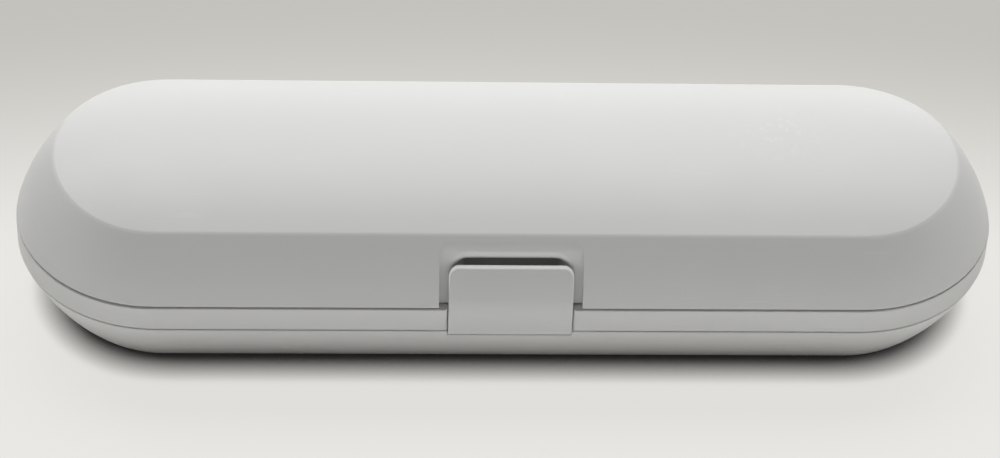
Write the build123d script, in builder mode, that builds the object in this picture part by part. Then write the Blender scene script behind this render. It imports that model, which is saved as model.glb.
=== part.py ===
from build123d import *
import os
from math import atan2, cos, degrees, radians, sin, sqrt

# Electric toothbrush travel case, closed. Millimetres.
# X runs along the case, the latch faces -Y and the hinge is at +Y.
# The origin is the centre of the flat bottom, and +Z is up.

# ---------------------------------------------------------------------------
# Outer form: a stadium in plan, with one cross-section carried round it
# ---------------------------------------------------------------------------
base_half_width = 34.5  # at the lower seam, where the case is widest
base_height = 18.6  # lower seam, where the base shell meets the rim
base_bulge = 0.9  # rise of the base wall's arc over its chord
foot_inset = 9.7  # from the widest place in to the edge of the flat bottom
foot_round = 3.0

band_height = 6.2  # the upright band of the rim, between the two seams
band_inset = 0.4  # how far it leans in over that height

wall_height = 15.05  # of the lid, from the upper seam to the crease
wall_inset = 8.45  # how far the lid's wall leans in over that height
wall_bulge = 0.8
crease_round = 1.6
crown_rise = 4.65
crown_end_radius = 100.0  # fall of the crown towards the two ends
crown_end_arc = 45.0  # enough of it to pass both ends, in degrees

seam_height = base_height + band_height
seam_half_width = base_half_width - band_inset
crease_height = seam_height + wall_height
crease_half_width = seam_half_width - wall_inset
lid_height = crease_height + crown_rise

# ---------------------------------------------------------------------------
# Walls and gaps
# ---------------------------------------------------------------------------
base_wall = 2.0
lid_wall = 2.0
rim_wall = 2.4
tray_wall = 1.5
liner_wall = 1.2
lid_gap = 0.3  # the open seam between lid and rim
groove_gap = 0.5  # the open groove of the lower seam
fit_gap = 0.15  # between mouldings of one body
side_gap = 0.3  # beside and around what turns
cut_margin = 2.0  # how far a cutting tool runs past what it cuts
seam_edge = 0.3  # rounding of the edges that meet at a seam

# Ship-lap joint between the base shell and the rim
lap_wall = 1.0  # what is left of the base wall at the joint
lap_depth = 2.7

# Lip that stands inside the closed lid
lip_gap = 0.35
lip_wall = 1.2
lip_height = 2.4
lip_root = 3.8  # how far the thick part under the lip reaches down
lip_inset = lid_wall + lip_gap
lip_back = lip_inset + lip_wall

# Shoulder in the rim that carries the tray
shoulder_width = 1.6
shoulder_height = 1.5
shoulder_level = seam_height - lip_root + shoulder_height
shoulder_depth = lip_back + shoulder_width

# ---------------------------------------------------------------------------
# Tray: handle well at the back, two head wells at the front
# ---------------------------------------------------------------------------
deck_thickness = 1.5
deck_level = shoulder_level + deck_thickness
handle_length = 200.0
handle_radius = 14.5
handle_gap = 2.3  # between the rim's shoulder and the outside of the handle well
handle_end_gap = 0.2
floor_gap = 0.6  # between the base and the underside of the handle well
head_length = 76.0
head_depth = 14.5
head_gap = 3.5  # between the rim's shoulder and the outside of the head wells
head_overhang = 3.5  # how far the round ends of their outlines lie beyond the straight part
head_round = 4.0
well_gap = 3.6  # between the handle well and the head wells
neck_rib_width = 2.0
neck_rib_offset = 9.0  # outwards from the middle of a head well
neck_radius = 3.6
neck_rib_height = 5.5
finger_width = 20.0
finger_depth = 9.0
finger_inset = 1.0  # how far behind the front of the head wells the slot starts
finger_round = 6.0

# Lid liner: a flange under a ledge in the lid, with pockets that face the wells
liner_level = seam_height + 3.6
ledge_width = 1.8
ledge_height = 1.6
head_pocket_height = 6.0
pocket_round = 2.5

# ---------------------------------------------------------------------------
# Latch and the recess it lies in. Heights are above the upper seam.
# ---------------------------------------------------------------------------
latch_width = 27.6
latch_height = 9.2
latch_plate = 0.8
latch_proud = 0.2  # how far its face stands out from the wall
latch_corner = 2.2
latch_edge = 0.3
latch_bend = 14.0
latch_gap = 0.15  # on either side of it, in the rim
trunnion_radius = 1.1
trunnion_length = 2.4
trunnion_clearance = 0.08
knuckle_radius = 2.2  # rounded lower end of the latch
cradle_wall = 1.6
cradle_drop = 2.2  # how far the cradle reaches below the latch's lower end
ridge_width = 18.0
ridge_height = 1.2
ridge_bite = 0.8  # how far the ridge stands into the lid
ridge_rise = 2.4

recess_width = 31.8
recess_height = 14.0
recess_depth = 1.9  # at the seam; the flat floor runs out to the surface at the top
recess_lead = 1.6  # height of the gentler slope that leads in from the top
recess_lead_depth = 0.25
recess_blend = 6.0
recess_lip = 0.4  # the slope runs out this far above the recess
recess_corner = 2.4
recess_wall = 1.7
scoop_width = 22.5
scoop_height = 3.4
scoop_rise = 8.1  # of its middle
scoop_depth = 3.6
scoop_mouth = 2.4  # rounding of the edge it is entered over
scoop_floor_round = 1.0
scoop_corner = 1.5
notch_round = 0.8  # rounding of the rim's edges beside the latch

# ---------------------------------------------------------------------------
# Sizes that follow
# ---------------------------------------------------------------------------
# The wells fill the width inside the rim's shoulder, and the handle sets the length
inner_half = seam_half_width - shoulder_depth
handle_y = inner_half - handle_gap - tray_wall - handle_radius
handle_axis_height = base_wall + floor_gap + tray_wall + handle_radius
head_front = inner_half - head_gap - tray_wall
head_width = head_front + handle_y - handle_radius - well_gap
head_y = head_width / 2 - head_front
end_turn = inner_half - handle_end_gap - tray_wall - handle_radius
half_straight = handle_length / 2 - handle_radius - sqrt(end_turn**2 - handle_y**2)
head_x = half_straight + head_overhang - (head_length - head_width) / 2
neck_rib_x = head_x + neck_rib_offset
neck_height = deck_level - head_depth + neck_rib_height
finger_front = finger_inset - head_front

# The latch turns on the lower seam, just inside the outer wall
latch_axis_y = knuckle_radius - base_half_width - latch_proud
latch_axis_z = base_height
latch_top = seam_height + latch_height
ridge_level = seam_height + ridge_rise
recess_top = seam_height + recess_height
scoop_level = seam_height + scoop_rise

# ---------------------------------------------------------------------------
# Hinge at the back: two groups of three knuckles, each on a steel pin
# ---------------------------------------------------------------------------
hinge_x = 48.0
hinge_offset = 1.2  # pin axis outside the wall
hinge_axis_y = seam_half_width + hinge_offset
hinge_axis_z = seam_height
barrel_radius = 2.6
pin_radius = 1.0
pin_clearance = 0.05
pin_chamfer = 0.2
lid_knuckle_width = 10.0
rim_knuckle_width = 6.0
knuckle_gap = 0.3
arm_rise = 2.5  # upright back of the lid's arm, which lands on the stop
arm_reach = 6.4
stop_gap = 0.15
lid_swing = 115.0
group_width = lid_knuckle_width + 2 * (rim_knuckle_width + knuckle_gap)

# Longer than anything, for trimming
reach = 2 * (handle_length + base_half_width)


# ---------------------------------------------------------------------------
# Cross-section and the ways of carrying it
# ---------------------------------------------------------------------------
# Curves of the closed case cut across, right of the middle, in y and z
foot_half_width = base_half_width - foot_inset
base_arc = SagittaArc((foot_half_width, 0), (base_half_width, base_height), -base_bulge)
band_line = Line((base_half_width, base_height), (seam_half_width, seam_height))
wall_arc = SagittaArc(
    (seam_half_width, seam_height), (crease_half_width, crease_height), -wall_bulge
)
crown_arc = ThreePointArc(
    (-crease_half_width, crease_height), (0, lid_height), (crease_half_width, crease_height)
)
band_lean = degrees(atan2(band_inset, band_height))


def outline_at(depth):
    """The outline below the crown, sunk under the surface by a depth or raised if negative."""
    with BuildSketch() as outline:
        with Locations((0, depth)):
            Rectangle(reach, reach, align=(Align.CENTER, Align.MIN))
        for arc in (base_arc, wall_arc):
            with Locations(arc.arc_center):
                Circle(arc.radius - depth, mode=Mode.INTERSECT)
        with Locations(band_line @ 0):
            with Locations(Location((0, 0), band_lean)):
                with Locations((-depth, 0)):
                    Rectangle(reach, reach, align=(Align.MAX, Align.CENTER), mode=Mode.INTERSECT)
        if foot_round > depth:
            fillet(outline.vertices().sort_by_distance(base_arc @ 0)[0], foot_round - depth)
        mirror(about=Plane.YZ, mode=Mode.INTERSECT)
    return outline.sketch


def crown_form(depth):
    """Everything under the crown, which is sunk by a depth and falls away at both ends."""
    with BuildSketch() as section:
        Rectangle(reach, reach, align=(Align.CENTER, Align.MIN))
        with Locations(crown_arc.arc_center):
            Circle(crown_arc.radius - depth, mode=Mode.INTERSECT)
    with BuildPart() as form:
        bar(section.sketch, -half_straight, half_straight)
        for end in (-1, 1):
            with BuildSketch(Plane.YZ.offset(end * half_straight)) as face:
                add(section.sketch)
            turn = Axis((end * half_straight, 0, lid_height - crown_end_radius), (0, end, 0))
            revolve(face.sketch, axis=turn, revolution_arc=crown_end_arc)
    return form.part


def strip(low, high, outer=0.0, inner=None):
    """The part of the wall between two heights and two depths, on both sides."""
    with BuildSketch() as piece:
        add(outline_at(outer))
        if inner is not None:
            add(outline_at(inner), mode=Mode.SUBTRACT)
        with Locations((0, (low + high) / 2)):
            Rectangle(reach, high - low, mode=Mode.INTERSECT)
    return piece.sketch


def front_strip(low, high, outer=0.0, inner=None):
    """The same, at the front only."""
    with BuildSketch() as piece:
        add(strip(low, high, outer, inner))
        with Locations((-reach / 2, 0)):
            Rectangle(reach, reach, mode=Mode.INTERSECT)
    return piece.sketch


def half_width(height, depth=0.0):
    """Distance from the middle plane to the wall at a height and a depth."""
    level = Line((0, height), (reach, height), mode=Mode.PRIVATE)
    return (level & outline_at(depth).face()).bounding_box().max.X


def carry_round(section, mode=Mode.ADD):
    """Carries a full cross-section round the stadium plan."""
    bar(section, -half_straight, half_straight, mode)
    for end in (-1, 1):
        with BuildSketch(Plane.YZ.offset(end * half_straight)) as half:
            add(section)
            with Locations((reach / 2, 0)):
                Rectangle(reach, reach, mode=Mode.INTERSECT)
        turn = Axis((end * half_straight, 0, 0), (0, 0, -end))
        revolve(half.sketch, axis=turn, revolution_arc=180, mode=mode)


def bar(section, x_low, x_high, mode=Mode.ADD):
    """Extrudes a section drawn in y and z from one x to another."""
    with BuildSketch(Plane.YZ.offset(x_low)) as face:
        add(section)
    extrude(face.sketch, amount=x_high - x_low, mode=mode)


def rod(y, z, radius, x_low, x_high, mode=Mode.ADD):
    """A round bar along x."""
    with BuildSketch(Plane.YZ.offset(x_low)) as face:
        with Locations((y, z)):
            Circle(radius)
    extrude(face.sketch, amount=x_high - x_low, mode=mode)


def front_plate(width, low, high, corner):
    """A prism along y with its two upper corners rounded, seen from the front."""
    with BuildPart() as plate:
        with BuildSketch(Plane.XZ) as face:
            with Locations((0, (low + high) / 2)):
                Rectangle(width, high - low)
            fillet(face.vertices().group_by(Axis.Y)[-1], corner)
        extrude(amount=reach / 2)
    return plate.part


def handle_form(margin, top):
    """Space for the handle, grown by a margin: half a capsule carried up to a height."""
    with BuildPart() as form:
        add(capsule(margin))
        split(bisect_by=Plane.XY.offset(handle_axis_height), keep=Keep.BOTTOM)
        with BuildSketch(Plane.XY.offset(handle_axis_height)):
            with Locations((0, handle_y)):
                SlotOverall(handle_length + 2 * margin, 2 * (handle_radius + margin))
        extrude(amount=top - handle_axis_height)
    return form.part


def capsule(margin):
    """Round-ended cylinder about the handle's axis."""
    with BuildPart() as form:
        with BuildSketch(Plane.XY.offset(handle_axis_height)):
            with Locations((0, handle_y)):
                SlotOverall(handle_length + 2 * margin, 2 * (handle_radius + margin))
            with Locations((0, handle_y + reach / 2)):
                Rectangle(reach, reach, mode=Mode.INTERSECT)
        revolve(axis=Axis((0, handle_y, handle_axis_height), (1, 0, 0)))
    return form.part


def head_forms(margin, level, depth, rounding):
    """Space for both brush heads, from a level down, or up if depth is negative."""
    with BuildPart() as forms:
        with BuildSketch(Plane.XY.offset(level)):
            with Locations((-head_x, head_y), (head_x, head_y)):
                SlotOverall(head_length + 2 * margin, head_width + 2 * margin)
        extrude(amount=-depth)
        far_end = forms.faces().sort_by_distance((0, 0, level - depth))
        flats = far_end.filter_by(Plane.XY).group_by(Axis.Z)[0 if depth > 0 else -1]
        fillet(flats.edges(), rounding)
    return forms.part


# ---------------------------------------------------------------------------
# Base shell: curved wall, flat bottom, lap joint and the latch's lower cradle
# ---------------------------------------------------------------------------
latch_half = latch_width / 2
slot_half = latch_half + latch_gap
cradle_half = slot_half + trunnion_length + side_gap + cradle_wall
slot_back = latch_axis_y + knuckle_radius + side_gap
cradle_depth = base_half_width + slot_back + cradle_wall
cradle_low = base_height - knuckle_radius - cradle_drop


def cut_latch_bearing():
    """Room for the latch's lower end and a seat for each trunnion."""
    rod(latch_axis_y, latch_axis_z, knuckle_radius + side_gap, -slot_half, slot_half, Mode.SUBTRACT)
    seat_half = slot_half + trunnion_length
    seat_radius = trunnion_radius + trunnion_clearance
    rod(latch_axis_y, latch_axis_z, seat_radius, -seat_half, seat_half, Mode.SUBTRACT)


lap_low = base_height - lap_depth
lap_high = base_height - groove_gap

with BuildSketch() as base_section:
    add(strip(0, lap_high, 0, base_wall))
    add(strip(lap_low, base_height, lap_wall), mode=Mode.SUBTRACT)
    corners = base_section.vertices().group_by(Axis.Y)[-1].group_by(SortBy.DISTANCE)[-1]
    fillet(corners, seam_edge)

with BuildPart() as base_shell:
    carry_round(base_section.sketch)
    bar(front_strip(cradle_low, base_height, lap_wall / 2, cradle_depth), -cradle_half, cradle_half)
    cut_latch_bearing()
    level_edges = base_shell.edges().filter_by(Axis.X)
    notch_low = (0, -base_half_width, base_height - knuckle_radius)
    fillet(level_edges.sort_by_distance(notch_low)[0], seam_edge)

base_shell.part.label = "base_shell"

# ---------------------------------------------------------------------------
# Rim frame: band, skirt, lip, tray shoulder, latch slot and hinge knuckles
# ---------------------------------------------------------------------------
with BuildSketch() as rim_section:
    add(strip(base_height, seam_height, 0, rim_wall))
    outermost = seam_half_width - seam_edge
    corners = rim_section.vertices().filter_by(lambda v: abs(v.X) > outermost)
    fillet(corners, seam_edge)
    add(strip(lap_low, base_height, lap_wall + fit_gap, rim_wall))
    add(strip(seam_height - lip_root, seam_height + lip_height, lip_inset, lip_back))
    add(strip(shoulder_level - shoulder_height, shoulder_level, rim_wall / 2, shoulder_depth))

with BuildSketch() as rim_arm:
    # From the band up to the barrel
    with Locations((hinge_axis_y, hinge_axis_z)):
        Circle(barrel_radius)
    inside = half_width(seam_height, rim_wall / 2)
    with BuildLine():
        Polyline(
            (hinge_axis_y + barrel_radius, hinge_axis_z),
            (half_width(base_height), base_height + seam_edge),
            (inside, base_height + seam_edge),
            (inside, hinge_axis_z),
            close=True,
        )
    make_face()

# Stop under each lid knuckle: the upright back of the lid's arm lands on it
swing = radians(lid_swing)
stop_face = barrel_radius + stop_gap
stop_start = Vector(hinge_axis_y + stop_face * cos(swing), hinge_axis_z - stop_face * sin(swing))
stop_along = Vector(sin(swing), cos(swing))

with BuildSketch() as stop_section:
    with BuildLine():
        Polyline(
            stop_start - stop_along * rim_wall,
            stop_start + stop_along * (arm_rise + side_gap),
            (half_width(base_height), base_height + seam_edge),
            (inside, base_height + seam_edge),
            close=True,
        )
    make_face()

with BuildPart() as rim_frame:
    carry_round(rim_section.sketch)
    # The skirt stops short of the cradle
    skirt = front_strip(0, base_height, 0, rim_wall)
    bar(skirt, -cradle_half - fit_gap, cradle_half + fit_gap, Mode.SUBTRACT)
    cradle = front_strip(base_height, seam_height, rim_wall / 2, cradle_depth)
    bar(cradle, -cradle_half, cradle_half)
    # Slot for the latch, open at the front, and a break in the lip behind it
    with BuildSketch(Plane.YZ.offset(-slot_half)) as slot:
        with Locations((slot_back, base_height)):
            Rectangle(reach, reach, align=(Align.MAX, Align.MIN))
    extrude(slot.sketch, amount=2 * slot_half, mode=Mode.SUBTRACT)
    # Its edges at the front are rounded, along the band
    band_front = Vector(0, -base_half_width, base_height)
    along_band = Plane(band_front, x_dir=(1, 0, 0), z_dir=(0, band_inset, band_height))
    with BuildSketch(along_band) as mouth:
        mouth_half = slot_half + notch_round
        Rectangle(2 * mouth_half, 2 * notch_round)
        with Locations((-mouth_half, notch_round), (mouth_half, notch_round)):
            Circle(notch_round, mode=Mode.SUBTRACT)
    extrude(mouth.sketch, amount=seam_height, mode=Mode.SUBTRACT)
    lip_break = recess_width / 2 + recess_wall + side_gap
    above_band = front_strip(seam_height, lid_height, 0, cradle_depth)
    bar(above_band, -lip_break, lip_break, Mode.SUBTRACT)
    cut_latch_bearing()
    for x in (-hinge_x, hinge_x):
        knuckle = lid_knuckle_width / 2
        bar(stop_section.sketch, x - knuckle, x + knuckle)
        notch = knuckle + knuckle_gap
        space = barrel_radius + side_gap
        rod(hinge_axis_y, hinge_axis_z, space, x - notch, x + notch, Mode.SUBTRACT)
        bar(rim_arm.sketch, x - group_width / 2, x - notch)
        bar(rim_arm.sketch, x + notch, x + group_width / 2)
        bore = pin_radius + pin_clearance
        bore_half = group_width / 2
        rod(hinge_axis_y, hinge_axis_z, bore, x - bore_half, x + bore_half, Mode.SUBTRACT)

rim_frame.part.label = "rim_frame"

# ---------------------------------------------------------------------------
# Inner tray
# ---------------------------------------------------------------------------
def finger_form(margin):
    """Space for a finger between the head wells, open to the handle well."""
    with BuildPart() as form:
        with BuildSketch(Plane.XY.offset(deck_level)) as slot:
            with Locations((0, finger_front - margin)):
                length = handle_y - finger_front + margin
                Rectangle(finger_width + 2 * margin, length, align=(Align.CENTER, Align.MIN))
            fillet(slot.vertices().group_by(Axis.Y)[0], finger_round + margin)
        extrude(amount=-finger_depth - margin)
    return form.part


with BuildPart() as inner_tray:
    carry_round(strip(shoulder_level, deck_level, lip_back + fit_gap))
    add(handle_form(tray_wall, deck_level))
    add(head_forms(tray_wall, deck_level, head_depth + tray_wall, head_round + tray_wall))
    add(finger_form(tray_wall))
    add(finger_form(0), mode=Mode.SUBTRACT)
    add(handle_form(0, deck_level + cut_margin), mode=Mode.SUBTRACT)
    add(head_forms(0, deck_level, head_depth, head_round), mode=Mode.SUBTRACT)
    # Cut clear of the cradle behind the latch
    cleared = cradle_low - side_gap
    behind_latch = front_strip(cleared, deck_level + cut_margin, 0, cradle_depth + fit_gap)
    bar(behind_latch, -cradle_half - fit_gap, cradle_half + fit_gap, Mode.SUBTRACT)
    # A rib in each head well, notched for the neck
    for x in (-neck_rib_x, neck_rib_x):
        with BuildSketch(Plane.YZ.offset(x - neck_rib_width / 2)) as rib:
            with Locations((head_y, deck_level - head_depth)):
                Rectangle(head_width, neck_rib_height, align=(Align.CENTER, Align.MIN))
            with Locations((head_y, neck_height)):
                Circle(neck_radius, mode=Mode.SUBTRACT)
        extrude(rib.sketch, amount=neck_rib_width)

inner_tray.part.label = "inner_tray"

# ---------------------------------------------------------------------------
# Lid shell
# ---------------------------------------------------------------------------
recess_half = recess_width / 2
lead_level = recess_top - recess_lead
recess_foot = Vector(recess_depth - seam_half_width, seam_height)
recess_bend = Vector(-half_width(lead_level, recess_lead_depth), lead_level)
recess_head = Vector(-half_width(recess_top + recess_lip), recess_top + recess_lip)

# The floor of the recess, seen square on; its origin is the middle of the scoop
floor_slope = (recess_bend - recess_foot).normalized()
scoop_seat = recess_foot + floor_slope * (scoop_rise / floor_slope.Y)
floor_out = (0, -floor_slope.Y, floor_slope.X)
recess_floor = Plane((0, scoop_seat.X, scoop_seat.Y), x_dir=(1, 0, 0), z_dir=floor_out)


def recess_side(inwards):
    """Section of the space in front of the recess floor, moved inwards."""
    shift = Vector(inwards, 0)
    with BuildSketch() as side:
        with BuildLine():
            Polyline(
                recess_foot + shift,
                recess_bend + shift,
                recess_head + shift,
                (-reach, recess_head.Y),
                (-reach, seam_height),
                close=True,
            )
        make_face()
        fillet(side.vertices().sort_by_distance(recess_bend + shift)[0], recess_blend)
    return side.sketch


def floor_depth(level):
    """Depth of the recess floor under the wall at a height."""
    across = recess_foot.X + (level - seam_height) * floor_slope.X / floor_slope.Y
    return half_width(level) + across


def scoop_form(margin):
    """The hollow of the scoop, grown by a margin."""
    with BuildPart() as form:
        with BuildSketch(recess_floor.offset(scoop_floor_round)):
            width = scoop_width + 2 * margin
            height = scoop_height + 2 * margin
            RectangleRounded(width, height, scoop_corner + margin)
        extrude(amount=-scoop_floor_round - scoop_depth - margin)
        deepest = form.faces().sort_by(Axis(recess_floor.origin, floor_out))[0]
        fillet(deepest.edges(), scoop_floor_round)
    return form.part


with BuildPart() as latch_recess:
    bar(recess_side(0), -recess_half - cut_margin, recess_half + cut_margin)
    with BuildSketch(recess_floor.offset(-cut_margin)) as plan:
        floor_low = (seam_height - cut_margin - scoop_level) / floor_slope.Y
        floor_high = (recess_top - scoop_level) / floor_slope.Y
        with Locations((0, (floor_low + floor_high) / 2)):
            Rectangle(recess_width, floor_high - floor_low)
        fillet(plan.vertices().group_by(Axis.Y)[-1], recess_corner)
    extrude(amount=reach, mode=Mode.INTERSECT)
    add(scoop_form(0))
    fillet(latch_recess.edges(Select.NEW), scoop_mouth)

with BuildSketch() as backing_section:
    add(strip(seam_height + lid_gap, crease_height, lid_wall / 2))
    add(recess_side(recess_wall), mode=Mode.INTERSECT)

with BuildSketch() as lid_section:
    add(strip(seam_height + lid_gap, lid_height + cut_margin))
    fillet(lid_section.vertices().group_by(Axis.Y)[0], seam_edge)

with BuildPart() as lid_hollow:
    carry_round(strip(seam_height, lid_height + cut_margin, lid_wall))
    add(crown_form(lid_wall), mode=Mode.INTERSECT)

with BuildSketch() as lid_arm:
    # From the lid's wall down to the barrel, with an upright back
    with Locations((hinge_axis_y, hinge_axis_z)):
        Circle(barrel_radius)
    arm_top = hinge_axis_z + arm_reach
    with BuildLine():
        Polyline(
            (hinge_axis_y + barrel_radius, hinge_axis_z),
            (hinge_axis_y + barrel_radius, hinge_axis_z + arm_rise),
            (half_width(arm_top), arm_top),
            (half_width(arm_top, lid_wall / 2), arm_top),
            (half_width(seam_height + lid_gap, lid_wall / 2), seam_height + lid_gap),
            close=True,
        )
    make_face()

with BuildPart() as lid_shell:
    carry_round(lid_section.sketch)
    add(crown_form(0), mode=Mode.INTERSECT)
    crease_top = lid_height - crease_round
    fillet(
        lid_shell.edges().filter_by_position(Axis.Z, crease_height - seam_edge, crease_top),
        crease_round,
    )
    add(lid_hollow.part, mode=Mode.SUBTRACT)
    ledge_level = liner_level + liner_wall
    ledge_depth = lid_wall + ledge_width
    carry_round(strip(ledge_level, ledge_level + ledge_height, lid_wall / 2, ledge_depth))
    bar(backing_section.sketch, -recess_half - recess_wall, recess_half + recess_wall)
    add(scoop_form(recess_wall))
    add(latch_recess.part, mode=Mode.SUBTRACT)
    # Groove that the latch's ridge holds the lid by
    ridge_reach = floor_depth(ridge_level) + ridge_bite
    groove_half = ridge_height / 2 + side_gap
    groove_low = ridge_level - groove_half
    groove_high = ridge_level + groove_half
    groove = front_strip(groove_low, groove_high, 0, ridge_reach + side_gap)
    bar(groove, -ridge_width / 2 - side_gap, ridge_width / 2 + side_gap, Mode.SUBTRACT)
    for x in (-hinge_x, hinge_x):
        knuckle = lid_knuckle_width / 2
        notch = group_width / 2 + knuckle_gap
        space = barrel_radius + side_gap
        rod(hinge_axis_y, hinge_axis_z, space, x - notch, x - knuckle, Mode.SUBTRACT)
        rod(hinge_axis_y, hinge_axis_z, space, x + knuckle, x + notch, Mode.SUBTRACT)
        bar(lid_arm.sketch, x - knuckle, x + knuckle)
        bore = pin_radius + pin_clearance
        rod(hinge_axis_y, hinge_axis_z, bore, x - knuckle, x + knuckle, Mode.SUBTRACT)

lid_shell.part.label = "lid_shell"

# ---------------------------------------------------------------------------
# Lid liner
# ---------------------------------------------------------------------------
with BuildPart() as lid_liner:
    carry_round(strip(liner_level, ledge_level, lid_wall + fit_gap))
    add(capsule(liner_wall))
    with BuildSketch(Plane.XY.offset(liner_level)):
        Rectangle(reach, reach)
    extrude(amount=-reach, mode=Mode.SUBTRACT)
    pocket_height = head_pocket_height + liner_wall
    add(head_forms(liner_wall, liner_level, -pocket_height, pocket_round + liner_wall))
    add(capsule(0), mode=Mode.SUBTRACT)
    add(head_forms(0, liner_level, -head_pocket_height, pocket_round), mode=Mode.SUBTRACT)
    # Cut clear of the recess and the scoop, which stand into the lid
    clear = recess_half + recess_wall + side_gap
    bar(recess_side(recess_wall + side_gap), -clear, clear, Mode.SUBTRACT)
    add(scoop_form(recess_wall + side_gap), mode=Mode.SUBTRACT)

lid_liner.part.label = "lid_liner"

# ---------------------------------------------------------------------------
# Latch flap: plate, rounded lower end, trunnions and the ridge behind
# ---------------------------------------------------------------------------
with BuildSketch() as plate_section:
    plate_back = latch_plate - latch_proud
    add(front_strip(latch_axis_z, latch_top, -latch_proud, plate_back))
    # Bent where the wall meets the band
    for depth, rounding in ((-latch_proud, latch_bend), (plate_back, latch_bend - latch_plate)):
        bend = (depth - seam_half_width, seam_height)
        fillet(plate_section.vertices().sort_by_distance(bend)[0], rounding)

with BuildPart() as latch_flap:
    bar(plate_section.sketch, -latch_half, latch_half)
    low_end = latch_axis_z - knuckle_radius
    add(front_plate(latch_width, low_end, latch_top, latch_corner), mode=Mode.INTERSECT)
    outside = latch_flap.faces().filter_by(lambda face: face.normal_at().Y < -sin(radians(45)))
    level_edges = outside.edges().filter_by(Axis.X)
    side_edges = outside.edges().filter_by(Axis.X, reverse=True)
    fillet(side_edges + level_edges.sort_by(Axis.Z)[-1:], latch_edge)
    rod(latch_axis_y, latch_axis_z, knuckle_radius, -latch_half, latch_half)
    trunnion_half = slot_half + trunnion_length - side_gap
    rod(latch_axis_y, latch_axis_z, trunnion_radius, -trunnion_half, trunnion_half)
    ridge = front_strip(
        ridge_level - ridge_height / 2, ridge_level + ridge_height / 2, 0, ridge_reach
    )
    bar(ridge, -ridge_width / 2, ridge_width / 2)

latch_flap.part.label = "latch_flap"

# ---------------------------------------------------------------------------
# Hinge pins
# ---------------------------------------------------------------------------
pin_half = group_width / 2 - side_gap

with BuildPart() as hinge_pin_left:
    rod(hinge_axis_y, hinge_axis_z, pin_radius, -hinge_x - pin_half, -hinge_x + pin_half)
    chamfer(hinge_pin_left.faces().filter_by(Plane.YZ).edges(), pin_chamfer)

hinge_pin_left.part.label = "hinge_pin_left"

with BuildPart() as hinge_pin_right:
    rod(hinge_axis_y, hinge_axis_z, pin_radius, hinge_x - pin_half, hinge_x + pin_half)
    chamfer(hinge_pin_right.faces().filter_by(Plane.YZ).edges(), pin_chamfer)

hinge_pin_right.part.label = "hinge_pin_right"

# ---------------------------------------------------------------------------
os.makedirs("parts", exist_ok=True)
pieces = [
    base_shell,
    rim_frame,
    inner_tray,
    lid_shell,
    lid_liner,
    latch_flap,
    hinge_pin_left,
    hinge_pin_right,
]
for piece in pieces:
    export_step(piece.part, f"parts/{piece.part.label}.step")
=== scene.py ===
import bmesh
import bpy
from mathutils import Matrix, Vector


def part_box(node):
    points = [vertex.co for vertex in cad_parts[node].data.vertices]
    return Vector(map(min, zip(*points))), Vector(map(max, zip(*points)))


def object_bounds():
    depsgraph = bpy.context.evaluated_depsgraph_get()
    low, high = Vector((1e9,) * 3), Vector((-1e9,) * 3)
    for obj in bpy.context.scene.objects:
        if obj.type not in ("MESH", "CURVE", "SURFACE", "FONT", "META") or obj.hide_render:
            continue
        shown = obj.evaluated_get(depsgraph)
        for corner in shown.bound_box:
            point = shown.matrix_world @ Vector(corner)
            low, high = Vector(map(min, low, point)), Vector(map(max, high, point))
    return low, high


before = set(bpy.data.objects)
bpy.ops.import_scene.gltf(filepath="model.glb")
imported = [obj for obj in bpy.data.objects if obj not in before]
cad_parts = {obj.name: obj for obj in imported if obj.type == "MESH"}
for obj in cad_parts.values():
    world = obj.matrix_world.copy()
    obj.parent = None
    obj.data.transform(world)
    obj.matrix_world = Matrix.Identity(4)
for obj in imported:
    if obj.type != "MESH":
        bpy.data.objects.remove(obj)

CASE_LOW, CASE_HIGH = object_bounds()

bl_info = {
    "name": "Toothbrush travel case",
    "version": (1, 0, 0),
    "blender": (4, 5, 0),
    "location": "View3D > Sidebar > Travel case",
    "description": "Finishes for the mouldings and pins of a travel case, in a pale studio",
    "category": "Object",
}

# ---------------------------------------------------------------------------
# The case's pieces, and the marks and the painted highlight that have a place on them, in metres
# ---------------------------------------------------------------------------
OUTER_MOULDINGS = ("lid_shell", "rim_frame", "base_shell", "latch_flap")
INNER_MOULDINGS = ("inner_tray", "lid_liner")
HINGE_PINS = ("hinge_pin_left", "hinge_pin_right")

# Painted highlight: a lighter band on the latch's upper edge, standing in for light that the
# lamps don't put on its rounded edge
LATCH_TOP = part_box("latch_flap")[1].z
LATCH_HALF_WIDTH = 0.0138
LATCH_CORNER = 0.0022
LATCH_HIGHLIGHT_BAND = 0.0004  # how far the painted highlight reaches onto the plate
LATCH_HIGHLIGHT_FADE = (0.002, 0.006)  # how far below the top it starts and ends to fade
LATCH_HIGHLIGHT_LOW = 0.12  # how much of it is left on the sides below that

RUBBED_PLACE = (0.061, 0.004, CASE_HIGH.z)  # on the crown, between its middle and right end
RUBBED_REACH = 0.014
SCUFF_COLOUR = (0.82, 0.82, 0.81)

# ---------------------------------------------------------------------------
# The studio, in metres
# ---------------------------------------------------------------------------
# Each lamp: the setting that holds its power, its place, its target, its width and height
LAMPS = {
    "top_lamp": ("top_strength", (0, 0.5, 0.87), (0, 0, 0), (1.6, 0.5)),
    "rear_lamp": ("rear_strength", (0, 1.5, 0.3), (0, 0, 0.03), (2.6, 0.5)),
    "left_lamp": ("side_strength", (-1, -0.1, 0.3), (0, 0, 0), (0.8, 0.5)),
    "right_lamp": ("side_strength", (1, -0.1, 0.3), (0, 0, 0), (0.8, 0.5)),
    "table_lamp": ("table_strength", (0, -0.2, 0.002), (0, -0.2, 1), (1.2, 0.24)),
}

# Painted pool of light: the floor is pale round a point in front of the case, and fades to
# painted shade with distance from it
LIGHT_POOL_CENTRE_Y = -0.5
LIGHT_POOL_FADE = (0.5, 0.61)  # nearest and farthest distance of the fade
LIGHT_POOL_WIDTH_SCALE = 0.8  # how much a distance counts sideways
SHADOW_RANGE = (0.3, 0.83)  # openness at which the contact shadow is full, and gone

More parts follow.
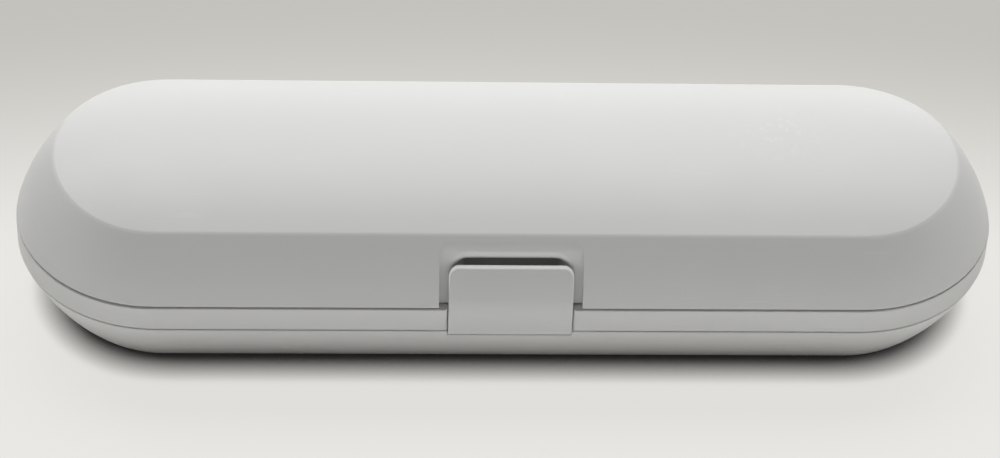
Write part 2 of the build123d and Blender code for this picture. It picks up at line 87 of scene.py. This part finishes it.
CAMERA_PLACE = (-0.023376, -0.374418, 0.384710)
CAMERA_RIGHT = Vector((0.99909498, -0.02585074, 0.03377803))
CAMERA_UP = Vector((-0.00595414, 0.70130854, 0.71283299))
SENSOR_WIDTH = 36.0  # in millimetres


# ---------------------------------------------------------------------------
# Settings a user would change
# ---------------------------------------------------------------------------
class CaseFinishSettings(bpy.types.PropertyGroup):
    """Colours and surface of the case's mouldings and pins"""

    shell_colour: bpy.props.FloatVectorProperty(
        name="Shell colour",
        description="Colour of the lid, rim, base and latch",
        subtype="COLOR",
        size=3,
        min=0.0,
        max=1.0,
        default=(0.67, 0.672, 0.665),
    )
    shell_roughness: bpy.props.FloatProperty(
        name="Shell roughness",
        description="Roughness of the outer mouldings between scuffs",
        subtype="FACTOR",
        min=0.0,
        max=1.0,
        default=0.5,
    )
    # Painted highlight: the colour painted on the upper edge of the latch's plate in place of
    # light caught there
    edge_highlight_colour: bpy.props.FloatVectorProperty(
        name="Latch edge highlight",
        description="Colour of the upper edge of the latch's plate",
        subtype="COLOR",
        size=3,
        min=0.0,
        max=1.0,
        default=(0.95, 0.95, 0.94),
    )
    liner_colour: bpy.props.FloatVectorProperty(
        name="Liner colour",
        description="Colour of the tray and the lid's liner",
        subtype="COLOR",
        size=3,
        min=0.0,
        max=1.0,
        default=(0.66, 0.67, 0.665),
    )
    liner_roughness: bpy.props.FloatProperty(
        name="Liner roughness",
        description="Roughness of the tray and the lid's liner",
        subtype="FACTOR",
        min=0.0,
        max=1.0,
        default=0.42,
    )
    pin_colour: bpy.props.FloatVectorProperty(
        name="Pin colour",
        description="Colour of the steel hinge pins",
        subtype="COLOR",
        size=3,
        min=0.0,
        max=1.0,
        default=(0.56, 0.57, 0.58),
    )
    grain_size: bpy.props.FloatProperty(
        name="Grain size",
        description="Size of the spark-eroded grain of the mould",
        subtype="DISTANCE",
        unit="LENGTH",
        min=0.00005,
        max=0.002,
        default=0.0003,
    )
    grain_depth: bpy.props.FloatProperty(
        name="Grain depth",
        description="Depth of the spark-eroded grain",
        subtype="DISTANCE",
        unit="LENGTH",
        min=0.0,
        max=0.0002,
        default=0.000006,
    )
    scuff_amount: bpy.props.FloatProperty(
        name="Scuffs",
        description="How much the handling marks show",
        subtype="FACTOR",
        min=0.0,
        max=1.0,
        default=0.25,
    )


class StudioSettings(bpy.types.PropertyGroup):
    """Floor, light and camera"""

    # The floor's own colour, and the pale tone of the painted pool of light in front of the case
    floor_lit_colour: bpy.props.FloatVectorProperty(
        name="Floor colour",
        description="Colour of the floor under the case and in front of it",
        subtype="COLOR",
        size=3,
        min=0.0,
        max=1.0,
        default=(0.84, 0.83, 0.80),
    )
    # Painted shade: the floor darkens to this colour farther off, and the room seen behind shows
    # it too
    floor_far_shade_colour: bpy.props.FloatVectorProperty(
        name="Floor colour, far",
        description="Colour of the floor farther off, and of the room",
        subtype="COLOR",
        size=3,
        min=0.0,
        max=1.0,
        default=(0.55, 0.535, 0.50),
    )
    floor_evenness: bpy.props.FloatProperty(
        name="Floor evenness",
        description="How far the floor shows its own colour in place of the light on it",
        subtype="FACTOR",
        min=0.0,
        max=1.0,
        default=0.86,
    )
    contact_shadow: bpy.props.FloatProperty(
        name="Contact shadow",
        description="How far the soft shadow under the case reaches",
        subtype="DISTANCE",
        unit="LENGTH",
        min=0.005,
        max=0.2,
        default=0.009,
    )
    floor_size: bpy.props.FloatProperty(
        name="Floor size",
        description="Side of the square floor",
        subtype="DISTANCE",
        unit="LENGTH",
        min=1.0,
        max=20.0,
        default=6.0,
    )
    room_strength: bpy.props.FloatProperty(
        name="Room light",
        description="Strength of the even light from all round",
        min=0.0,
        max=4.0,
        default=0.065,
    )
    top_strength: bpy.props.FloatProperty(
        name="Top light",
        description="Power of the large lamp above and behind the case",
        subtype="POWER",
        unit="POWER",
        min=0.0,
        max=200.0,
        default=11.9,
    )
    rear_strength: bpy.props.FloatProperty(
        name="Rear light",
        description="Power of the wide low lamp behind the case",
        subtype="POWER",
        unit="POWER",
        min=0.0,
        max=200.0,
        default=8.2,
    )
    side_strength: bpy.props.FloatProperty(
        name="Side light",
        description="Power of each lamp at the two ends of the case",
        subtype="POWER",
        unit="POWER",
        min=0.0,
        max=200.0,
        default=1.1,
    )
    table_strength: bpy.props.FloatProperty(
        name="Table light",
        description="Power of the panel that throws light up from the table in front of the case",
        subtype="POWER",
        unit="POWER",
        min=0.0,
        max=200.0,
        default=1.5,
    )
    focal_length: bpy.props.FloatProperty(
        name="Focal length",
        description="Focal length of the camera on a 36 mm wide sensor, in millimetres",
        min=20.0,
        max=300.0,
        default=80.65,
    )


# ---------------------------------------------------------------------------
# Nodes
# ---------------------------------------------------------------------------
def add_node(tree, kind, inputs=None, **settings):
    """A new node with its settings. Each input is a value, or a socket to link from."""
    node = tree.nodes.new(kind)
    for name, value in settings.items():
        setattr(node, name, value)
    for name, value in (inputs or {}).items():
        if isinstance(value, bpy.types.NodeSocket):
            tree.links.new(value, node.inputs[name])
        else:
            node.inputs[name].default_value = value
    return node


def calculate(tree, operation, *terms, clamp=False):
    """The result of a Math node, whose terms are numbers or sockets."""
    node = add_node(
        tree, "ShaderNodeMath", dict(enumerate(terms)), operation=operation, use_clamp=clamp
    )
    return node.outputs[0]


def noise(tree, place, scale, detail):
    """Plain noise, as a value from 0 to 1."""
    inputs = {"Vector": place, "Scale": scale, "Detail": detail}
    return add_node(tree, "ShaderNodeTexNoise", inputs).outputs["Fac"]


def fade(tree, value, start, end, first=0.0, last=1.0, curve="SMOOTHSTEP"):
    """Turns a value between start and end into one between first and last."""
    inputs = {"Value": value, "From Min": start, "From Max": end, "To Min": first, "To Max": last}
    node = add_node(tree, "ShaderNodeMapRange", inputs, interpolation_type=curve)
    return node.outputs["Result"]


def mix_colours(tree, factor, first, second):
    """The first colour, with as much of the second as the factor says."""
    inputs = {"Factor": factor, "A": first, "B": second}
    return add_node(tree, "ShaderNodeMix", inputs, data_type="RGBA").outputs["Result"]


def opaque(colour):
    """A colour of three numbers as a socket takes it."""
    return (*colour, 1.0)


# ---------------------------------------------------------------------------
# Effects that the mouldings share
# ---------------------------------------------------------------------------
FLOAT = "NodeSocketFloat"
VECTOR = "NodeSocketVector"
COLOUR = "NodeSocketColor"


def new_group(name, inputs, outputs):
    """A shader node group: its tree, the sockets it is given, and its output node."""
    tree = bpy.data.node_groups.new(name, "ShaderNodeTree")
    for socket, kind in inputs.items():
        tree.interface.new_socket(name=socket, in_out="INPUT", socket_type=kind)
    for socket, kind in outputs.items():
        tree.interface.new_socket(name=socket, in_out="OUTPUT", socket_type=kind)
    given = tree.nodes.new("NodeGroupInput").outputs
    return tree, given, tree.nodes.new("NodeGroupOutput")


def moulded_grain_group():
    """Spark-eroded texture of a mould: a fine height and a slower change of roughness."""
    tree, given, made = new_group(
        "moulded_grain",
        {"Vector": VECTOR, "Size": FLOAT, "Roughness": FLOAT, "Patchiness": FLOAT},
        {"Height": FLOAT, "Roughness": FLOAT},
    )
    grain_inputs = {
        "Vector": given["Vector"],
        "Scale": calculate(tree, "DIVIDE", 1.0, given["Size"]),
        "Detail": 2.0,
        "Roughness": 0.6,
    }
    grain = add_node(tree, "ShaderNodeTexNoise", grain_inputs)
    patches = noise(tree, given["Vector"], scale=70.0, detail=3.0)
    centred = calculate(tree, "SUBTRACT", patches, 0.5)
    roughness = calculate(
        tree, "MULTIPLY_ADD", centred, given["Patchiness"], given["Roughness"], clamp=True
    )
    tree.links.new(grain.outputs["Fac"], made.inputs["Height"])
    tree.links.new(roughness, made.inputs["Roughness"])
    return tree


def handling_scuffs_group():
    """Faint rubbed patches and short hairlines: a mask from 0 to 1."""
    tree, given, made = new_group(
        "handling_scuffs", {"Vector": VECTOR, "Amount": FLOAT, "Spread": FLOAT}, {"Mask": FLOAT}
    )
    place = given["Vector"]
    slow = noise(tree, place, scale=22.0, detail=2.0)
    patches = fade(tree, slow, start=given["Spread"], end=0.72)
    hairlines = []
    for turn, stretch in ((0.35, 26.0), (-0.6, 20.0)):
        drawn_out = {
            "Vector": place,
            "Rotation": (0.0, 0.0, turn),
            "Scale": (1.0, stretch, stretch),
        }
        mapping = add_node(tree, "ShaderNodeMapping", drawn_out)
        streaks = noise(tree, mapping.outputs["Vector"], scale=60.0, detail=3.0)
        hairlines.append(fade(tree, streaks, start=0.6, end=0.72))
    lines = calculate(tree, "MAXIMUM", *hairlines)
    soft = noise(tree, place, scale=190.0, detail=4.0)
    rubbed = calculate(tree, "MULTIPLY_ADD", soft, 0.6, lines)
    within = calculate(tree, "MULTIPLY", rubbed, patches)
    shown = calculate(tree, "MULTIPLY", within, given["Amount"], clamp=True)
    tree.links.new(shown, made.inputs["Mask"])
    return tree


def tone_drift_group():
    """Colour of a moulding, with the slow drift in tone that pigment leaves in it."""
    tree, given, made = new_group(
        "tone_drift", {"Vector": VECTOR, "Colour": COLOUR, "Drift": FLOAT}, {"Colour": COLOUR}
    )
    slow = noise(tree, given["Vector"], scale=16.0, detail=2.0)
    centred = calculate(tree, "SUBTRACT", slow, 0.5)
    factor = calculate(tree, "MULTIPLY_ADD", centred, given["Drift"], 1.0)
    toned_inputs = {0: given["Colour"], "Scale": factor}
    toned = add_node(tree, "ShaderNodeVectorMath", toned_inputs, operation="SCALE")
    tree.links.new(toned.outputs["Vector"], made.inputs["Colour"])
    return tree


def painted_edge_highlight_group():
    """A narrow band of painted highlight along the top and upper side edges of an upright rounded
    plate.
    """
    tree, given, made = new_group(
        "plate_edge",
        {"Vector": VECTOR, "Half Width": FLOAT, "Top": FLOAT, "Corner": FLOAT, "Band": FLOAT},
        {"Mask": FLOAT},
    )
    split = add_node(tree, "ShaderNodeSeparateXYZ", {"Vector": given["Vector"]}).outputs
    past = []
    for value, limit in (
        (calculate(tree, "ABSOLUTE", split["X"]), "Half Width"),
        (split["Z"], "Top"),
    ):
        beyond = calculate(tree, "SUBTRACT", value, given[limit])
        in_corner = calculate(tree, "ADD", beyond, given["Corner"])
        past.append(calculate(tree, "MAXIMUM", in_corner, 0.0))
    both = add_node(tree, "ShaderNodeCombineXYZ", {"X": past[0], "Y": past[1]})
    reach = add_node(
        tree, "ShaderNodeVectorMath", {0: both.outputs["Vector"]}, operation="LENGTH"
    )
    inner = calculate(tree, "SUBTRACT", given["Corner"], given["Band"])
    band = fade(tree, reach.outputs["Value"], start=inner, end=given["Corner"])
    depth = calculate(tree, "SUBTRACT", given["Top"], split["Z"])
    left = fade(tree, depth, *LATCH_HIGHLIGHT_FADE, first=1.0, last=LATCH_HIGHLIGHT_LOW)
    tree.links.new(calculate(tree, "MULTIPLY", band, left, clamp=True), made.inputs["Mask"])
    return tree


def rubbed_patch_group():
    """A small patch of fine specks round a point: a mask from 0 to 1."""
    tree, given, made = new_group(
        "rubbed_patch",
        {"Vector": VECTOR, "Centre": VECTOR, "Reach": FLOAT, "Amount": FLOAT},
        {"Mask": FLOAT},
    )
    points = {0: given["Vector"], 1: given["Centre"]}
    away = add_node(tree, "ShaderNodeVectorMath", points, operation="DISTANCE")
    near = fade(tree, away.outputs["Value"], start=0.0, end=given["Reach"], first=1.0, last=0.0)
    fine = noise(tree, given["Vector"], scale=520.0, detail=2.0)
    specks = fade(tree, fine, start=0.54, end=0.64)
    within = calculate(tree, "MULTIPLY", near, specks)
    shown = calculate(tree, "MULTIPLY", within, given["Amount"], clamp=True)
    tree.links.new(shown, made.inputs["Mask"])
    return tree


GROUP_MAKERS = {
    "moulded_grain": moulded_grain_group,
    "handling_scuffs": handling_scuffs_group,
    "tone_drift": tone_drift_group,
    "plate_edge": painted_edge_highlight_group,
    "rubbed_patch": rubbed_patch_group,
}


def place_effect(tree, effect, place, values):
    """Puts a shared effect in a material, with its own values, and gives its outputs."""
    group = bpy.data.node_groups.get(effect) or GROUP_MAKERS[effect]()
    inputs = {"Vector": place, **values}
    return add_node(tree, "ShaderNodeGroup", inputs, node_tree=group).outputs


# ---------------------------------------------------------------------------
# Materials of the case
# ---------------------------------------------------------------------------
def new_material(name):
    """An empty node material: its tree, its Principled shader and Object coordinates."""
    material = bpy.data.materials.new(name)
    material.use_nodes = True
    tree = material.node_tree
    tree.nodes.clear()
    output = tree.nodes.new("ShaderNodeOutputMaterial")
    shader = tree.nodes.new("ShaderNodeBsdfPrincipled")
    tree.links.new(shader.outputs["BSDF"], output.inputs["Surface"])
    place = tree.nodes.new("ShaderNodeTexCoord").outputs["Object"]
    return material, tree, shader, place


def moulded_plastic(name, finish, colour, roughness, scuffs, patch=0.0, edge_highlight_colour=None):
    """Matte moulded plastic with grain, a slow drift of tone and handling marks.

    The patch is how much the lid's rubbed place shows. An edge highlight colour paints a lighter
    band, a painted highlight, on the upper edge of the latch's plate.
    """
    material, tree, shader, place = new_material(name)
    link = tree.links.new
    toned = place_effect(tree, "tone_drift", place, {"Colour": opaque(colour), "Drift": 0.04})
    marks = place_effect(tree, "handling_scuffs", place, {"Amount": scuffs, "Spread": 0.52})
    rubbed_values = {"Centre": RUBBED_PLACE, "Reach": RUBBED_REACH, "Amount": patch}
    rubbed = place_effect(tree, "rubbed_patch", place, rubbed_values)
    worn = calculate(tree, "MAXIMUM", marks["Mask"], rubbed["Mask"])
    body = mix_colours(tree, worn, toned["Colour"], opaque(SCUFF_COLOUR))
    # Painted highlight: a lighter band on the latch's upper edge in place of light the lamps
    # don't put there
    if edge_highlight_colour:
        plate = {
            "Half Width": LATCH_HALF_WIDTH,
            "Top": LATCH_TOP,
            "Corner": LATCH_CORNER,
            "Band": LATCH_HIGHLIGHT_BAND,
        }
        edge = place_effect(tree, "plate_edge", place, plate)
        body = mix_colours(tree, edge["Mask"], body, opaque(edge_highlight_colour))
    link(body, shader.inputs["Base Color"])

    grain_values = {"Size": finish.grain_size, "Roughness": roughness, "Patchiness": 0.08}
    grain = place_effect(tree, "moulded_grain", place, grain_values)
    polished = calculate(
        tree, "MULTIPLY_ADD", marks["Mask"], -0.12, grain["Roughness"], clamp=True
    )
    link(polished, shader.inputs["Roughness"])
    relief = {"Strength": 0.5, "Distance": finish.grain_depth, "Height": grain["Height"]}
    bump = add_node(tree, "ShaderNodeBump", relief)
    link(bump.outputs["Normal"], shader.inputs["Normal"])
    return material


def drawn_steel(name, finish):
    """Bright drawn wire: fine lines along the pin."""
    material, tree, shader, place = new_material(name)
    shader.inputs["Metallic"].default_value = 1.0
    along = add_node(tree, "ShaderNodeMapping", {"Vector": place, "Scale": (0.02, 1.0, 1.0)})
    lines = noise(tree, along.outputs["Vector"], scale=5000.0, detail=3.0)
    roughness = fade(tree, lines, start=0.0, end=1.0, first=0.24, last=0.42, curve="LINEAR")
    tree.links.new(roughness, shader.inputs["Roughness"])
    tone = fade(tree, lines, start=0.0, end=1.0, first=0.92, last=1.08, curve="LINEAR")
    steel = {0: tuple(finish.pin_colour), "Scale": tone}
    toned = add_node(tree, "ShaderNodeVectorMath", steel, operation="SCALE")
    tree.links.new(toned.outputs["Vector"], shader.inputs["Base Color"])
    return material


def wear(node, material):
    """Gives a moulding or pin its material."""
    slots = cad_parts[node].data.materials
    slots.clear()
    slots.append(material)


# ---------------------------------------------------------------------------
# Operators for the case
# ---------------------------------------------------------------------------
class TRAVELCASE_OT_outer_mouldings(bpy.types.Operator):
    """Finish the lid, rim, base and latch in matte light grey plastic, with a painted highlight
    on the latch's upper edge
    """

    bl_idname = "travelcase.outer_mouldings"
    bl_label = "Outer mouldings"

    def execute(self, context):
        finish = context.scene.travelcase_finish
        for node in OUTER_MOULDINGS:
            material = moulded_plastic(
                node + "_matte",
                finish,
                finish.shell_colour,
                finish.shell_roughness,
                finish.scuff_amount,
                finish.scuff_amount if node == "lid_shell" else 0.0,
                # painted highlight on the latch's upper edge
                finish.edge_highlight_colour if node == "latch_flap" else None,
            )
            wear(node, material)
        return {"FINISHED"}


class TRAVELCASE_OT_inner_mouldings(bpy.types.Operator):
    """Finish the tray and the lid's liner in satin plastic"""

    bl_idname = "travelcase.inner_mouldings"
    bl_label = "Tray and liner"

    def execute(self, context):
        finish = context.scene.travelcase_finish
        for node in INNER_MOULDINGS:
            material = moulded_plastic(
                node + "_satin",
                finish,
                finish.liner_colour,
                finish.liner_roughness,
                finish.scuff_amount / 2,
            )
            wear(node, material)
        return {"FINISHED"}


class TRAVELCASE_OT_hinge_pins(bpy.types.Operator):
    """Finish the hinge pins in drawn steel"""

    bl_idname = "travelcase.hinge_pins"
    bl_label = "Hinge pins"

    def execute(self, context):
        material = drawn_steel("drawn_steel", context.scene.travelcase_finish)
        for node in HINGE_PINS:
            wear(node, material)
        return {"FINISHED"}


# ---------------------------------------------------------------------------
# Studio
# ---------------------------------------------------------------------------
def area_lamp(name, power, place, target, size):
    """A rectangular lamp that points at a target and doesn't show itself to the camera."""
    data = bpy.data.lights.new(name, "AREA")
    data.energy = power
    data.shape = "RECTANGLE"
    data.size, data.size_y = size
    lamp = bpy.data.objects.new(name, data)
    bpy.context.scene.collection.objects.link(lamp)
    lamp.location = place
    lamp.rotation_euler = (Vector(target) - Vector(place)).to_track_quat("-Z", "Y").to_euler()
    lamp.visible_camera = False


def seen_directly(tree):
    """A factor of 1 for what is seen, by the camera or in a reflection, and 0 for light."""
    path = tree.nodes.new("ShaderNodeLightPath").outputs
    mirrored = calculate(tree, "MAXIMUM", path["Is Camera Ray"], path["Is Glossy Ray"])
    return calculate(tree, "MAXIMUM", mirrored, path["Is Transmission Ray"])


def floor_material(studio):
    """Pale paper floor, with a painted pool of light in front of the case, painted shade farther
    off and a painted soft shadow close under it.
    """
    material, tree, shader, place = new_material("floor_paper")
    link = tree.links.new
    centred = {
        "Vector": place,
        "Location": (0.0, -LIGHT_POOL_CENTRE_Y, 0.0),
        "Scale": (LIGHT_POOL_WIDTH_SCALE, 1.0, 1.0),
    }
    from_centre = add_node(tree, "ShaderNodeMapping", centred).outputs["Vector"]
    distance = add_node(tree, "ShaderNodeVectorMath", {0: from_centre}, operation="LENGTH")
    # Painted pool of light: pale in front of the case, fading to painted shade farther off
    far = fade(tree, distance.outputs["Value"], *LIGHT_POOL_FADE)
    paper = mix_colours(
        tree, far, opaque(studio.floor_lit_colour), opaque(studio.floor_far_shade_colour)
    )
    link(paper, shader.inputs["Base Color"])
    shader.inputs["Roughness"].default_value = 0.6
    shader.inputs["Specular IOR Level"].default_value = 0.25

    # Painted contact shadow: the floor's own glow darkens where the case closes it in
    openness = add_node(
        tree, "ShaderNodeAmbientOcclusion", {"Distance": studio.contact_shadow}
    ).outputs["AO"]
    shade = fade(tree, openness, *SHADOW_RANGE, curve="LINEAR")
    even = add_node(tree, "ShaderNodeEmission", {"Color": paper, "Strength": shade})
    share = calculate(tree, "MULTIPLY", seen_directly(tree), studio.floor_evenness)
    layers = {0: share, 1: shader.outputs["BSDF"], 2: even.outputs["Emission"]}
    both = add_node(tree, "ShaderNodeMixShader", layers)
    link(both.outputs["Shader"], tree.nodes["Material Output"].inputs["Surface"])
    return material


def room_world(studio):
    """Even light from all round; the room itself looks like the far floor."""
    world = bpy.data.worlds.new("room")
    world.use_nodes = True
    tree = world.node_tree
    lit = tree.nodes["Background"]
    lit.inputs["Color"].default_value = (1.0, 1.0, 1.0, 1.0)
    lit.inputs["Strength"].default_value = studio.room_strength
    seen = add_node(tree, "ShaderNodeBackground", {"Color": opaque(studio.floor_far_shade_colour)})
    layers = {
        0: seen_directly(tree),
        1: lit.outputs["Background"],
        2: seen.outputs["Background"],
    }
    both = add_node(tree, "ShaderNodeMixShader", layers)
    tree.links.new(both.outputs["Shader"], tree.nodes["World Output"].inputs["Surface"])
    return world


class TRAVELCASE_OT_studio(bpy.types.Operator):
    """Set the case on a pale floor under soft light, with the camera in front and above"""

    bl_idname = "travelcase.studio"
    bl_label = "Studio"

    def execute(self, context):
        studio = context.scene.travelcase_studio
        scene = context.scene
        scene.view_settings.view_transform = "Standard"

        mesh = bmesh.new()
        bmesh.ops.create_grid(
            mesh,
            x_segments=1,
            y_segments=1,
            size=studio.floor_size / 2,
            matrix=Matrix.Translation((0, 0, CASE_LOW.z)),
        )
        data = bpy.data.meshes.new("floor")
        mesh.to_mesh(data)
        mesh.free()
        data.materials.append(floor_material(studio))
        floor = bpy.data.objects.new("floor", data)
        scene.collection.objects.link(floor)

        scene.world = room_world(studio)
        for name, (setting, place, target, size) in LAMPS.items():
            area_lamp(name, getattr(studio, setting), place, target, size)

        data = bpy.data.cameras.new("camera")
        data.sensor_width = SENSOR_WIDTH
        data.lens = studio.focal_length
        camera = bpy.data.objects.new("camera", data)
        scene.collection.objects.link(camera)
        back = CAMERA_RIGHT.cross(CAMERA_UP)
        turn = Matrix((CAMERA_RIGHT, CAMERA_UP, back)).transposed().to_4x4()
        camera.matrix_world = Matrix.Translation(CAMERA_PLACE) @ turn
        scene.camera = camera
        return {"FINISHED"}


# ---------------------------------------------------------------------------
# Panel and registration
# ---------------------------------------------------------------------------
class TRAVELCASE_PT_panel(bpy.types.Panel):
    """Settings and steps of the travel case"""

    bl_idname = "TRAVELCASE_PT_panel"
    bl_label = "Travel case"
    bl_space_type = "VIEW_3D"
    bl_region_type = "UI"
    bl_category = "Travel case"

    def draw(self, context):
        layout = self.layout
        for group in (context.scene.travelcase_finish, context.scene.travelcase_studio):
            for name in group.bl_rna.properties.keys():
                if name not in {"name", "rna_type"}:
                    layout.prop(group, name)
        for operator in OPERATORS:
            layout.operator(operator.bl_idname)


OPERATORS = (
    TRAVELCASE_OT_studio,
    TRAVELCASE_OT_outer_mouldings,
    TRAVELCASE_OT_inner_mouldings,
    TRAVELCASE_OT_hinge_pins,
)
CLASSES = (CaseFinishSettings, StudioSettings, *OPERATORS, TRAVELCASE_PT_panel)


def register():
    for made in CLASSES:
        bpy.utils.register_class(made)
    bpy.types.Scene.travelcase_finish = bpy.props.PointerProperty(type=CaseFinishSettings)
    bpy.types.Scene.travelcase_studio = bpy.props.PointerProperty(type=StudioSettings)


def unregister():
    del bpy.types.Scene.travelcase_studio
    del bpy.types.Scene.travelcase_finish
    for made in reversed(CLASSES):
        bpy.utils.unregister_class(made)


def main():
    """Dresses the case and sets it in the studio."""
    register()
    bpy.ops.travelcase.studio()
    bpy.ops.travelcase.outer_mouldings()
    bpy.ops.travelcase.inner_mouldings()
    bpy.ops.travelcase.hinge_pins()


if __name__ == "__main__":
    main()
